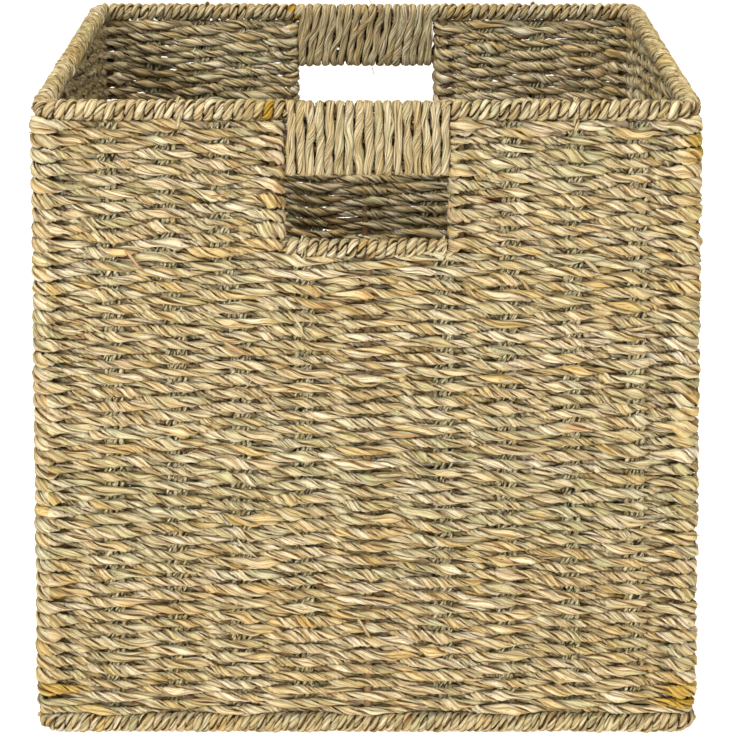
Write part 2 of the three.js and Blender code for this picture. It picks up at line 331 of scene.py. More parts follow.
def wire_material():
    """Lacquered steel wire, with faint drawing lines and worn spots."""
    n = Nodes("lacquered_wire")
    place = n.new("TexCoord").outputs["Object"]
    cloud = n.noise(place, (60, 60, 60), detail=4, roughness=0.6)
    tans = [(0.3, srgb(96, 74, 48)), (0.6, srgb(122, 97, 65)), (0.8, srgb(138, 111, 77))]
    n.surface("Base Color", n.ramp(cloud, tans))
    n.surface("Roughness", n.ramp(cloud, [(0.3, grey(0.7)), (0.8, grey(0.5))]))
    n.surface("Specular IOR Level", 0.2)
    n.surface("Normal", n.bump(n.noise(place, (900, 900, 90)), 0.15, 0.0001))
    return n.material


def tones(*colours):
    """Stops from a cord's darkest blades to its palest ones."""
    return [(stop, srgb(*colour)) for stop, colour in zip((0.30, 0.42, 0.52, 0.66), colours)]


STRAW_TONES = tones((150, 118, 54), (185, 163, 105), (206, 194, 157), (216, 210, 188))
CREAM_TONES = tones((138, 112, 58), (177, 159, 108), (198, 185, 144), (215, 207, 176))
SAGE_TONES = tones((134, 125, 84), (184, 177, 134), (206, 199, 158), (224, 218, 184))

MATERIALS = {
    "seagrass_weft": seagrass_material("seagrass_weft", STRAW_TONES),
    "seagrass_binding": seagrass_material("seagrass_binding", CREAM_TONES, green=0.25, shade=0.92),
    "seagrass_warp": seagrass_material("seagrass_warp", SAGE_TONES, green=0.5),
    "frame_wire": wire_material(),
}

# --- ropes ---


class Piece:
    """Collects closed tubes and makes one mesh object of them."""

    def __init__(self, name, slot, stands_for):
        self.name = name
        self.slot = slot
        self.stands_for = stands_for
        self.points, self.fibres, self.tints, self.painted_shades = [], [], [], []
        self.corners, self.sizes = [], []
        self.count = 0

    def add(self, points, fibres, tints, painted_shades, faces):
        """Faces is an array of one row for each face, all with as many corners."""
        self.points.append(points)
        self.fibres.append(fibres)
        self.tints.append(tints)
        self.painted_shades.append(painted_shades)
        self.corners.append((faces + self.count).ravel())
        self.sizes.append(np.full(len(faces), faces.shape[1]))
        self.count += len(points)

    def build(self):
        mesh = bpy.data.meshes.new(self.name)
        points = np.concatenate(self.points) * MM
        corners = np.concatenate(self.corners).astype(np.int32)
        sizes = np.concatenate(self.sizes).astype(np.int32)
        mesh.vertices.add(len(points))
        mesh.vertices.foreach_set("co", points.astype(np.float32).ravel())
        mesh.loops.add(len(corners))
        mesh.loops.foreach_set("vertex_index", corners)
        mesh.polygons.add(len(sizes))
        mesh.polygons.foreach_set("loop_start", (np.cumsum(sizes) - sizes).astype(np.int32))
        mesh.update(calc_edges=True)
        mesh.polygons.foreach_set("use_smooth", np.ones(len(sizes), bool))
        attributes = [
            ("fibre", "FLOAT_VECTOR", "vector", self.fibres),
            ("painted_shade", "FLOAT", "value", self.painted_shades),
            ("tint", "FLOAT_COLOR", "color", self.tints),
        ]
        for name, kind, field, parts in attributes:
            values = np.concatenate(parts).astype(np.float32).ravel()
            mesh.attributes.new(name, kind, "POINT").data.foreach_set(field, values)
        mesh.materials.append(MATERIALS[self.slot])
        piece = add_object(self.name, mesh)
        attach(piece, "root")
        if self.stands_for:
            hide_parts(*self.stands_for)


PIECES = {}


def piece(name, slot, *stands_for):
    if name not in PIECES:
        PIECES[name] = Piece(name, slot, stands_for)
    return PIECES[name]


def binding(node):
    return piece(f"{node}_cord", "seagrass_binding", node)


def alike(way, count):
    """The same vector for each of a number of points."""
    return np.tile(np.array(way, float), (count, 1))


def distances(path):
    """How far along a path each of its points is."""
    return np.concatenate([[0], np.cumsum(np.linalg.norm(np.diff(path, axis=0), axis=1))])


def unit(vectors):
    return vectors / np.linalg.norm(vectors, axis=-1, keepdims=True)


def smooth_noise(distance, wavelength, total, amplitude=1.0):
    """Smooth random waves along a length, the same at both its ends."""
    value = np.zeros_like(distance)
    most = max(3, int(2 * total / wavelength))
    for _ in range(7):
        turns = rng.integers(1, most + 1)
        value += np.sin(2 * np.pi * (turns * distance / total + rng.random()))
    return value * amplitude * 0.38


def tube_faces(rings, sides):
    """Quads between neighbouring rings of a tube."""
    first = (np.arange(rings - 1) * sides)[:, None] + np.arange(sides)
    second = (np.arange(rings - 1) * sides)[:, None] + (np.arange(sides) + 1) % sides
    return np.stack([first, second, second + sides, first + sides], axis=-1).reshape(-1, 4)


def add_tube(target, rings, fibres, tints, painted_shades):
    """One closed tube: the quads between its rings, and a cap of its own on each end.

    tints has one colour and share for each ring."""
    count, sides = rings.shape[:2]
    tints = np.repeat(tints, sides, axis=0)
    faces = tube_faces(count, sides)
    target.add(rings.reshape(-1, 3), fibres.reshape(-1, 3), tints, painted_shades.ravel(), faces)
    around = np.arange(sides)
    for end, order in ((0, around[::-1]), (-1, around)):
        last = tints[:sides] if end == 0 else tints[-sides:]
        target.add(rings[end], fibres[end], last, painted_shades[end], order[None, :])


def path_frame(path, out, closed):
    """Distance along a path, and at each point the outward and the crosswise direction."""
    if closed:
        step = np.roll(path, -1, axis=0) - np.roll(path, 1, axis=0)
    else:
        step = np.gradient(path, axis=0)
    tangent = unit(step)
    out = unit(out - tangent * np.sum(out * tangent, axis=1, keepdims=True))
    across = np.cross(tangent, out)
    return distances(path), out, across


FORWARD = (0, -1, 0)  # outward from the front wall
STRAND_APART = 613.0  # millimetres of pattern between one ply and the next
strand_count = 0


def blades_round(distance, total, blades):
    """The outline of a ply made of a few flat blades: for every point along it the angle, the
    radius and the depth in a crease of three points on each blade. The crease depth is used only
    for painted shade."""
    starts = (np.arange(blades) + 0.22 * rng.standard_normal(blades)) / blades
    starts = np.sort(starts)
    widths = np.diff(np.append(starts, starts[0] + 1))
    drift = smooth_noise(distance, 45, total, 1.1)
    angles, radii, depths = [], [], []
    for start, width in zip(starts, widths):
        thick = 1 + smooth_noise(distance, 24, total, 0.16)
        for share, radius, depth in ((0.0, 0.70, 1.0), (0.26, 1.0, 0.0), (0.72, 1.04, 0.0)):
            angles.append(2 * np.pi * (start + share * width) + drift)
            radii.append(radius * (thick if share else 1 + 0 * thick))
            depths.append(np.full_like(distance, depth))
    return (np.stack(values, axis=-1) for values in (angles, radii, depths))


GREENISH = [srgb(166, 167, 126), srgb(182, 182, 146), srgb(172, 164, 116)]
PALER = [srgb(222, 214, 188), srgb(210, 198, 160)]
BROWNISH = [srgb(190, 168, 118), srgb(200, 182, 144), srgb(158, 138, 92), srgb(200, 168, 98)]
SPLICE_COLOURS = GREENISH + PALER + BROWNISH


def splices(distance, strength):
    """Colour and share along a ply: stretches of blades from different stalks."""
    tint = np.zeros((len(distance), 4))
    if strength == 0:
        return tint
    start = -rng.uniform(0, 60)
    while start < distance[-1]:
        length = rng.uniform(25, 110)
        colour = SPLICE_COLOURS[rng.integers(len(SPLICE_COLOURS))]
        share = strength * rng.random() ** 1.2
        here = (distance >= start) & (distance < start + length)
        tint[here] = (*colour[:3], share)
        start += length
    return tint


def over_tint(under, over):
    """One tint laid over another."""
    share = over[:, 3:]
    colour = under[:, :3] * (1 - share) + over[:, :3] * share
    return np.concatenate([colour, np.maximum(under[:, 3:], share)], axis=1)


def rope(
    path,
    out,
    labels,
    ply_radius=1.2,
    orbit=1.0,
    pitch=24.0,
    plies=2,
    blades=3,
    width=1.32,
    flat_out=1.0,
    flat_across=1.0,
    closed=False,
    tint=None,
    depth=None,
    unrest=0.55,
    spliced=0.0,
):
    """Twists plies round a path, right-handed as the real cord is.

    labels gives each point's Piece; a rope is cut where the label changes. The two flat values may
    be one number or one for each point: they squash the cord towards the wall and across it.
    width is how much wider a ply is round the cord than through it. A closed path repeats its
    first point at its end. depth is the path's place in a wall, 0 in the middle; the parts of the
    cord near the middle get painted shade. spliced is how strongly the blades change colour along a ply.
    """
    global strand_count
    distance, out, across = path_frame(path, out, False)
    if closed:
        _, out_closed, across_closed = path_frame(path[:-1], out[:-1], True)
        out[:-1], across[:-1] = out_closed, across_closed
        out[-1], across[-1] = out[0], across[0]
    total = distance[-1]
    turns = max(1, round(total / pitch)) if closed else total / pitch
    twist = 2 * np.pi * (turns * distance / total + rng.random())
    twist = twist + smooth_noise(distance, 60, total, unrest)
    flat_out = np.broadcast_to(flat_out, distance.shape)[:, None]
    flat_across = np.broadcast_to(flat_across, distance.shape)[:, None]
    cuts = np.flatnonzero(np.diff(labels)) + 1
    starts = np.concatenate([[0], cuts])
    stops = np.concatenate([cuts, [len(path) - 1]])
    for ply in range(plies):
        angle = (twist + 2 * np.pi * ply / plies)[:, None]
        swell = ply_radius * (1 + smooth_noise(distance, 26, total, 0.16))
        around, profile, crease = blades_round(distance, total, blades)
        radius = swell[:, None] * profile
        towards = orbit + 0.9 * radius * np.cos(around)
        beside = width * radius * np.sin(around)
        reach_out = (towards * np.cos(angle) - beside * np.sin(angle)) * flat_out
        reach_across = (towards * np.sin(angle) + beside * np.cos(angle)) * flat_across
        rings = path[:, None, :] + reach_out[..., None] * out[:, None, :]
        rings = rings + reach_across[..., None] * across[:, None, :]
        along = distance[:, None] + STRAND_APART * strand_count + 0 * around
        drifted = around - around[:, :1] + 0.6 * strand_count
        fibres = np.stack([ply_radius * np.cos(drifted), ply_radius * np.sin(drifted), along], axis=-1)
        # Painted shade: the side of each ply that faces the cord's middle, the bottom of each blade's
        # crease and, with depth, the parts of the cord near the wall's middle are darkened as if in
        # shadow.
        inner = np.clip((-0.15 - np.cos(around)) / 0.5, 0, 1)
        painted_shade = np.maximum(0.75 * crease, inner)
        if depth is not None:
            shade = np.clip((0.85 - np.abs(depth[:, None] + reach_out)) / 1.1, 0, 1)
            painted_shade = np.maximum(painted_shade, shade)
        tints = splices(distance, spliced)
        if tint is not None:
            tints = over_tint(tints, tint)
        strand_count += 1
        for start, stop in zip(starts, stops):
            if stop > start:
                part = slice(start, stop + 1)
                add_tube(LABELS[labels[start]], rings[part], fibres[part], tints[part], painted_shade[part])


LABELS = []


def all_in(target, count):
    """Labels that put a number of points in one Piece."""
    if target not in LABELS:
        LABELS.append(target)
    return np.full(count, LABELS.index(target))


# --- the weave ---

ROW_PITCH = 3.43
WEAVE_BOTTOM = BASE_Z + BINDING_RADIUS + 0.2
WEAVE_TOP = RIM_Z - BINDING_RADIUS - 0.1
ROWS = 2 * round((WEAVE_TOP - WEAVE_BOTTOM) / ROW_PITCH / 2)
ROW_STEP = (WEAVE_TOP - WEAVE_BOTTOM) / ROWS
BULGE = 1.3  # how far the walls swell between rim and base
OVER = 2.25  # how far the cord's middle stands off the wall's middle at a warp
OUTER_TURN = 5.6  # radius of the cord's turn round the outside of a corner post
INNER_TURN = 6.0  # radius of its turn inside the post
INNER_DEPTH = -3.1  # where the inner rows run beside the post
LOOP_RADIUS = WIRE_RADIUS + 1.9  # of the turn round a hand hole's side wire
BANDS = 4  # pieces from bottom to top on each wall

Run = namedtuple("Run", "points out depth tall label")


def joined(runs):
    return Run(*(np.concatenate(values) for values in zip(*runs)))


def backwards(run):
    return Run(run.points[::-1], -run.out[::-1], -run.depth[::-1], run.tall[::-1], run.label[::-1])


def ring_of(run):
    """The same run with its first point again at its end."""
    return Run(*(np.concatenate([values, values[:1]]) for values in run))


def wall_turn(points, wall):
    """Turns points from the front wall to another one: 0 front, 1 right, 2 back, 3 left."""
    c, s = round(math.cos(wall * math.pi / 2)), round(math.sin(wall * math.pi / 2))
    turned = points.copy()
    turned[..., 0] = c * points[..., 0] - s * points[..., 1]
    turned[..., 1] = s * points[..., 0] + c * points[..., 1]
    return turned


def both_turned(path, out, wall):
    """A path and its outward directions on another wall."""
    return wall_turn(path, wall), wall_turn(out, wall)


def facing_at(angles):
    """Level directions, outward from the front wall and turned to the right by the angles."""
    return np.stack([np.sin(angles), -np.cos(angles), 0 * angles], axis=-1)


def wall_warps(wall):
    """Places of the warps on a wall seen from outside, left to right, with the centre wire."""
    places = LONG_PLACES if wall % 2 == 0 else CROSS_PLACES
    middle = CENTRE_WIRE
    if wall in (2, 3):
        places = [-p for p in reversed(places)]
        middle = -middle
    return sorted([*places, middle])


def ease(t):
    t = np.clip(t, 0, 1)
    return t * t * (3 - 2 * t)


def wave(u, stations):
    """Depth along a wall that holds each station's depth near it and swings between them."""
    depth = np.full_like(u, stations[0][1])
    for (place, here, hold), (next_place, there, next_hold) in zip(stations, stations[1:]):
        low, high = place + hold, next_place - next_hold
        swing = ease((u - low) / (high - low))
        depth = np.where(u >= place, here + (there - here) * swing, depth)
    return depth


def in_hole(z, wall):
    """True where a row on this wall is beside the hand hole."""
    return wall % 2 == 0 and z > SILL_Z - BINDING_RADIUS


def is_outer(row):
    """Odd rows pass outside the corner posts and in front of a hand hole's side wires."""
    return row % 2 == 1


def corner_style(row):
    """Where a wall's straight part ends, the depth there and the radius of the turn."""
    if not is_outer(row) and row > 0:
        return RIM_HALF + INNER_DEPTH - INNER_TURN, INNER_DEPTH, INNER_TURN
    rise = np.clip((row_height(row) - WEAVE_BOTTOM) / 9, 0, 1)
    radius = OUTER_TURN - 2.4 * (1 - rise) ** 2
    return POST, radius - (RIM_HALF - POST), radius


def lean(x, z):
    """Beside a hand hole the turning rows push the nearest warps away from it, mostly those on
    its left."""
    if abs(x) < HOLE_WIRE:
        return 0 * z
    most = (-9.0 if x < 0 else 1.5) * np.exp(-(abs(x) - HOLE_WIRE - 18) / 45)
    return most * ease((z - SILL_Z + 45) / 50)


def wall_stations(wall, row, low, high):
    """(place, depth, half width held) from end to end; an end inside the wall is a side wire."""
    _, corner_depth, _ = corner_style(row)
    at_wire = LOOP_RADIUS if is_outer(row) else -LOOP_RADIUS
    first = (low, corner_depth if low < -HOLE_WIRE - 1 else at_wire, 0.5)
    last = (high, corner_depth if high > HOLE_WIRE + 1 else at_wire, 0.5)
    near = rng.uniform(7, 10)
    between = [(low + near, 0.25 * first[1], 0.5)]
    for k, place in enumerate(wall_warps(wall), start=1):
        sign = 1 if (k + row) % 2 == 1 else -1
        hold = 1.2 if abs(place) < 2 else 3.6
        if wall % 2 == 0:
            side = 1 if wall == 0 else -1
            place = place + side * lean(side * place, row_height(row))
        place = place + rng.uniform(-1.2, 1.2)
        if low + 15 < place < high - 15:
            between.append((place, sign * OVER * rng.uniform(0.8, 1.08), hold))
    between.append((high - near, 0.25 * last[1], 0.5))
    return [first, *between, last]


def row_height(row):
    return WEAVE_BOTTOM + (row + 0.5) * ROW_STEP


class Heights:
    """The gentle rise and fall of the rows: neighbours move together."""

    def __init__(self):
        self.waves = []
        for _ in range(12):
            turns = rng.integers(1, 34)
            size = rng.uniform(0.1, 0.3)
            self.waves.append((turns, rng.uniform(-0.1, 0.1), rng.random() * 6.28, size))

    def at(self, laps, row):
        """Millimetres to add to a row's height, for a place in laps round the basket."""
        value = np.zeros_like(laps)
        for turns, drift, phase, size in self.waves:
            value += size * np.sin(2 * np.pi * turns * laps + drift * row + phase)
        edge = min(row + 0.5, ROWS - row - 0.5) / 8
        return value * min(1, edge)


HEIGHTS = Heights()
WALL_LAP = 2 * POST


def to_world(u, depth, z, wall):
    """From a wall's place, depth outward and height to the row frame."""
    middle = np.cos(np.pi / 2 * np.clip(u / POST, -1, 1)) ** 0.5
    swell = BULGE * np.sin(np.pi * np.clip(z / HEIGHT, 0, 1)) * middle
    scale = flare(z)
    x = u * scale
    y = -(RIM_HALF * scale + depth + swell)
    return wall_turn(np.stack([x, y, z], axis=-1), wall)


def band(row):
    return min(BANDS - 1, max(0, row) * BANDS // ROWS)


def weft_piece(wall, row):
    name = f"{WALLS[wall]}_weft_{band(row) + 1}"
    return piece(name, "seagrass_weft", f"{WALLS[wall]}_weave")


def weft_label(wall, row, count):
    return all_in(weft_piece(wall, row), count)


def wall_run(wall, row, low=None, high=None, step=1.9):
    """A row along a wall, without its corners. A missing end is a corner."""
    stop = corner_style(row)[0]
    low = -stop if low is None else low
    high = stop if high is None else high
    u = np.linspace(low, high, int((high - low) / step) + 1)
    laps = (wall + (u + POST) / WALL_LAP) / 4
    depth = wave(u, wall_stations(wall, row, low, high))
    over = np.clip(np.abs(depth) / OVER, 0, 1.25)
    depth = depth + smooth_noise(u + POST, 40, WALL_LAP, 0.16)
    z = row_height(row) + HEIGHTS.at(laps, row) + smooth_noise(u + POST, 40, WALL_LAP, 0.34)
    tall = 1.01 + (0.18 + smooth_noise(u + POST, 28, WALL_LAP, 0.26)) * over**2
    near_corner = np.clip((np.abs(u) - POST + 10) / 10, 0, 1)
    if is_outer(row):
        tall = np.maximum(tall, 0.9 + (corner_tall(row) - 0.9) * near_corner)
    out = wall_turn(alike(FORWARD, len(u)), wall)
    return Run(to_world(u, depth, z, wall), out, depth, tall, weft_label(wall, row, len(u)))


def corner_tall(row):
    """How far a row spreads up and down where it turns round a post."""
    return 1.75 if is_outer(row) and row > 1 else 1.0


def corner_run(wall, row):
    """The quarter turn at a wall's right end."""
    stop, depth, radius = corner_style(row)
    angles = np.linspace(0, np.pi / 2, 8)[1:-1]
    z = row_height(row) + HEIGHTS.at(np.full(len(angles), (wall + 1) / 4), row)
    scale = flare(z)
    centre = stop * scale if stop == POST else RIM_HALF * scale + INNER_DEPTH - INNER_TURN
    facing = facing_at(angles)
    points = radius * facing + np.stack([centre, -centre, z], axis=-1)
    tall = np.full(len(angles), corner_tall(row))
    depths = np.full(len(angles), depth)
    labels = weft_label(wall, row, len(angles))
    return Run(*both_turned(points, facing, wall), depths, tall, labels)


def side_loop(wall, row, side):
    """Half a turn round a hand hole's side wire, from this row behind to the next one in front.

    side is 1 for the wire left of the hole, whose rows come from the left, and -1 for the other.
    """
    angles = np.linspace(0, np.pi, 9)[1:-1]
    z = row_height(row) + ROW_STEP * angles / np.pi
    u = -side * HOLE_WIRE + side * LOOP_RADIUS * np.sin(angles)
    depth = -LOOP_RADIUS * np.cos(angles)
    out = facing_at(-side * angles)
    tall = 1.3 + 0.3 * np.sin(angles)
    # The depth given for painted shade is far out, so the loop is hardly darkened.
    far = np.full(len(angles), OVER)
    labels = weft_label(wall, row, len(u))
    return Run(to_world(u, depth, z, wall), wall_turn(out, wall), far, tall, labels)


# Rows of blades that kept a strong colour: a wall, its place and height as shares of the half
# width and the height, the reach in millimetres, the colour and how strong it is.
OCHRE, DARK_RED, RUST = srgb(186, 152, 48), srgb(96, 40, 28), srgb(178, 116, 58)
ACCENTS = [
    (0, -1.03, 0.928, 7, OCHRE, 0.95),
    (0, 1.03, 0.940, 9, OCHRE, 0.9),
    (0, 1.03, 0.917, 8, OCHRE, 0.85),
    (0, 1.03, 0.806, 7, OCHRE, 0.7),
    (0, -0.98, 0.072, 12, OCHRE, 0.9),
    (0, -0.88, 0.038, 10, OCHRE, 0.7),
    (0, 1.0, 0.050, 12, OCHRE, 0.95),
    (0, 1.0, 0.072, 9, OCHRE, 0.9),
    (0, 0.40, 0.851, 8, DARK_RED, 0.95),
    (0, 0.27, 0.709, 5, DARK_RED, 0.8),
    (0, 0.47, 0.243, 6, DARK_RED, 0.5),
    (0, -0.44, 0.92, 8, RUST, 0.7),
    (0, -0.57, 0.931, 6, RUST, 0.5),
    (0, -0.27, 0.865, 7, RUST, 0.6),
    (0, -0.31, 0.845, 9, OCHRE, 0.4),
    (0, 0.33, 0.775, 7, OCHRE, 0.6),
    (0, -0.90, 0.639, 7, RUST, 0.7),
    (0, -0.11, 0.688, 7, RUST, 0.6),
    (0, 0.0, 0.70, 5, RUST, 0.7),
    (0, 0.65, 0.504, 9, RUST, 0.8),
    (0, 0.243, 0.412, 6, RUST, 0.7),
    (0, 0.43, 0.387, 10, OCHRE, 0.5),
    (0, 0.90, 0.187, 9, OCHRE, 0.5),
    (0, -0.60, 0.08, 9, RUST, 0.55),
    (2, 0.45, 0.5, 12, RUST, 0.6),
    (2, -0.6, 0.8, 10, OCHRE, 0.6),
    (1, -0.3, 0.7, 12, OCHRE, 0.6),
    (1, 0.5, 0.25, 12, RUST, 0.6),
    (3, 0.2, 0.55, 12, OCHRE, 0.5),
    (3, -0.6, 0.3, 12, RUST, 0.6),
]


def accents(points):
    """The colour and its share at each point, from the list of strong blades."""
    tint = np.zeros((len(points), 4))
    for wall, across, up, reach, colour, strength in ACCENTS:
        place = wall_turn(np.array([across * RIM_HALF, -1.03 * RIM_HALF, up * HEIGHT]), wall)
        apart = np.linalg.norm((points - place) / np.array([reach, reach, 3.0]), axis=1)
        share = strength * np.clip(1.6 - apart, 0, 1)
        tint[share > tint[:, 3]] = (*colour[:3], 0)
        tint[:, 3] = np.maximum(tint[:, 3], share)
    return tint


def row_lots():
    """A colour and its share for each row: one long cord, from one lot, lasts for several rows."""
    lots = []
    while len(lots) < ROWS + 1:
        colour = (PALE, SAGE, TAN, STRAW)[rng.integers(4)]
        lots += [(*colour[:3], rng.uniform(0.05, 0.32))] * rng.integers(3, 10)
    return lots


PALE, SAGE = srgb(218, 202, 158), srgb(170, 168, 122)
TAN, STRAW = srgb(184, 156, 106), srgb(206, 184, 128)
ROW_LOTS = row_lots()


def weft_rope(run, row):
    """A weft cord: squashed between its neighbours, round where it crosses a warp alone."""
    run = ring_of(run)
    lot = np.broadcast_to(ROW_LOTS[row], (len(run.points), 4))
    rope(
        run.points,
        run.out,
        run.label,
        ply_radius=1.34 * rng.uniform(0.92, 1.08),
        orbit=0.82,
        pitch=22 * rng.uniform(0.72, 1.3),
        width=1.52,
        flat_out=0.90,
        flat_across=run.tall * rng.uniform(0.94, 1.06),
        closed=True,
        tint=over_tint(lot, accents(run.points)),
        # depth gives painted shade to the parts of the cord that lie deep in the wall, behind the warps
        # and between rows.
        depth=run.depth,
        unrest=0.9,
        spliced=0.72,
    )


def whole_row(row):
    """A row that goes all the way round."""
    runs = []
    for wall in range(4):
        runs += [wall_run(wall, row), corner_run(wall, row)]
    weft_rope(joined(runs), row)


def hole_pair(first_wall, row):
    """Two rows beside the hand holes are one cord: from the hole in one long wall round the short
    wall to the other hole, round its side wire and back one row higher."""
    walls = [first_wall, (first_wall + 1) % 4, (first_wall + 2) % 4]
    spans = [(HOLE_WIRE, None), (None, None), (None, -HOLE_WIRE)]
    there, back = [], []
    for wall, (low, high) in zip(walls, spans):
        there += [wall_run(wall, row, low, high), corner_run(wall, row)]
        back += [wall_run(wall, row + 1, low, high), corner_run(wall, row + 1)]
    there[-1] = side_loop(walls[2], row, 1)
    returned = [backwards(run) for run in back[-2::-1]]
    closing = side_loop(walls[0], row, -1)
    closing = Run(*(values[::-1] for values in closing))
    weft_rope(joined([*there, *returned, closing]), row)


def weave_walls():
    row = 0
    while row < ROWS:
        if in_hole(row_height(row), 0) and row % 2 == 0:
            hole_pair(0, row)
            hole_pair(2, row)
            row += 2
        else:
            whole_row(row)
            row += 1


# --- loose blades ---


def skin(u, depth, z, wall):
    """A place on a wall's face and its outward direction. Past the post it goes on round it."""
    past = np.clip(np.abs(u) - POST, 0, None)
    angle = np.sign(u) * np.clip(past / 6.3, 0, np.pi / 2)
    flat = to_world(np.clip(u, -POST, POST), depth, z, 0)
    facing = facing_at(angle)
    radius = depth + RIM_HALF - POST
    centre = POST * flare(z)
    turned = np.stack([np.sign(u) * centre, -centre, z], axis=-1) + radius[:, None] * facing
    points = np.where((past > 0)[:, None], turned, flat)
    return both_turned(points, facing, wall)


def add_strip(target, points, out, widths, thickness, tint):
    """A thin closed strip along the points, pointed where its width is small."""
    along = unit(np.gradient(points, axis=0))
    side = unit(np.cross(along, out)) * widths[:, None]
    rise = out * thickness
    rings = np.stack([points - side, points - rise, points + side, points + rise], axis=1)
    length = distances(points)
    start = rng.uniform(0, 5000)
    fibres = np.zeros(rings.shape)
    fibres[..., 0] = np.array([-1.0, 0.0, 1.0, 0.0]) * widths.max()
    fibres[..., 2] = (length + start)[:, None]
    tints = np.broadcast_to(np.array(tint), (len(points), 4))
    # The whole strip takes an even 0.35 of the painted shade, so it is a little darker all over.
    add_tube(target, rings, fibres, tints, np.full(rings.shape[:2], 0.35))


def loose_tint():
    colour = (PALE, STRAW, SAGE, SAGE, TAN, RUST)[rng.integers(6)]
    return (*colour[:3], rng.uniform(0.1, 0.5))


def loose_blade(wall, u, z, length, heading, width, lift, side=1):
    """One dry blade on the weave. It is tucked in at both ends, or stands off by lift at one."""
    t = np.linspace(0, 1, 8)
    heading = heading + rng.normal(0, 0.35) * t
    step = length / 7
    u = u + np.concatenate([[0], np.cumsum(np.cos(heading[1:]) * step)])
    z = z + np.concatenate([[0], np.cumsum(np.sin(heading[1:]) * step)])
    z = np.clip(z, WEAVE_BOTTOM, WEAVE_TOP)
    if lift:
        depth = 3.4 + 1.0 * t + lift * t**2
    else:
        depth = 3.0 + 1.9 * np.sin(np.pi * t) ** 0.6
    points, out = skin(u, side * depth, z, wall)
    widths = width * np.clip(np.minimum(6 * t, 4 * (1 - t)), 0.08, 1)
    row = int((z[0] - WEAVE_BOTTOM) / ROW_STEP)
    add_strip(weft_piece(wall, row), points, side * out, widths, 0.13 + 0.1 * width, loose_tint())


def clear_of_hole(u, z, wall):
    return wall % 2 == 1 or abs(u) > HOLE_WIRE + 6 or z < SILL_Z - 10


STRAYS, TUCKED = 130, 40  # loose blades on each wall


def scatter_blades():
    """Thin strays that stand off the weave, and wider blades tucked in at both ends."""
    for wall in range(4):
        for _ in range(STRAYS):
            u = rng.uniform(-POST - 8, POST + 6)
            z = rng.uniform(WEAVE_BOTTOM + 4, WEAVE_TOP - 4)
            heading = rng.choice([0, np.pi]) + rng.normal(-0.15, 0.28)
            length, width = rng.uniform(4, 11), rng.uniform(0.12, 0.28)
            lift = rng.uniform(0.3, 2.4)
            side = 1 if rng.random() < 0.75 else -1
            if clear_of_hole(u, z, wall) and (side > 0 or abs(u) < POST - 12):
                loose_blade(wall, u, z, length, heading, width, lift, side)
        for _ in range(TUCKED):
            u = rng.uniform(-POST, POST - 14)
            z = rng.uniform(WEAVE_BOTTOM + 8, WEAVE_TOP - 8)
            heading = rng.normal(-0.35, 0.22)
            side = 1 if rng.random() < 0.75 else -1
            if clear_of_hole(u, z, wall) and clear_of_hole(u + 16, z, wall) and abs(u) < POST - 12:
                loose_blade(wall, u, z, rng.uniform(8, 16), heading, rng.uniform(0.5, 1.0), 0, side)


FLOOR_GAP = 0.5


def fringe(target, path, radial, count, length=4.0):
    """A few short fibres that stand off a bound cord, and clear of the floor."""
    for _ in range(count):
        i = rng.integers(2, len(path) - 8)
        along = unit(path[i + 3] - path[i])
        way = unit(along * rng.choice([-1, 1]) + 0.7 * radial[i] + 0.5 * rng.standard_normal(3))
        t = np.linspace(0, 1, 6)[:, None]
        droop = np.array([0, 0, -1.0]) * rng.uniform(0, 1.5)
        points = path[i] + radial[i] * 1.6 + way * t * rng.uniform(0.5, 1.3) * length + droop * t**2
        points[:, 2] = np.maximum(points[:, 2], FLOOR_GAP)
        out = np.broadcast_to(radial[i], points.shape)
        widths = rng.uniform(0.12, 0.32) * np.clip(4 * (1 - t[:, 0]), 0.1, 1)
        add_strip(target, points, out, widths, 0.12, loose_tint())


# --- warps ---


LONG_LEVEL, CROSS_LEVEL = 4.3, 7.0  # heights of the warps' middles in the base


def bezier(t, a, b, c, d):
    return a * (1 - t) ** 3 + 3 * b * t * (1 - t) ** 2 + 3 * c * t**2 * (1 - t) + d * t**3


def warp_path(place, lengthwise, top, shift):
    """Down one wall, across the base and up the other wall, for one cord of a bundle."""
    level = LONG_LEVEL if lengthwise else CROSS_LEVEL
    bend_top, reach = 26.0, 14.0
    t = np.linspace(0, 1, 12)
    s = bezier(t, RIM_HALF, RIM_HALF, RIM_HALF - reach / 2, RIM_HALF - reach)
    z = bezier(t, bend_top, 12, level, level)
    straight = np.linspace(top, bend_top, int((top - bend_top) / 3))[:-1]
    s = np.concatenate([np.full(len(straight), RIM_HALF), s])
    z = np.concatenate([straight, z])
    middle = np.linspace(s[-1], -s[-1], 90)[1:-1]
    s = np.concatenate([s, middle, -s[::-1]])
    z = np.concatenate([z, np.full(len(middle), level), z[::-1]])
    scale = flare(z)
    swell = BULGE * np.sin(np.pi * z / HEIGHT) * np.sign(s)
    pushed = lean(place, z) if lengthwise else 0
    across, along = (place + pushed + shift) * scale, -(s * scale + swell)
    path = np.stack((across, along, z) if lengthwise else (along, across, z), axis=-1)
    side_way = np.array([1.0, 0, 0]) if lengthwise else np.array([0, 1.0, 0])
    return path, np.cross(np.gradient(path, axis=0), side_way)


def weave_warps():
    cords, apart = 4, 2.25
    for direction, places in (("long", LONG_PLACES), ("cross", CROSS_PLACES)):
        lengthwise = direction == "long"
        for number, place in enumerate(places, start=1):
            node = f"{direction}_warp_{number}"
            target = piece(f"{node}_cords", "seagrass_warp", node)
            top = box_mm(node)[1][2]
            for i in range(cords):
                shift = (i - (cords - 1) / 2) * apart + 0.25 * rng.standard_normal()
                path, out = warp_path(place, lengthwise, top, shift)
                path[:, 0 if lengthwise else 1] += smooth_noise(path[:, 2] * 2, 60, 2 * HEIGHT, 0.3)
                labels = all_in(target, len(path))
                rope(path, out, labels, 1.0, 0.66, 9, blades=2, width=1.25, unrest=0.8, spliced=0.7)


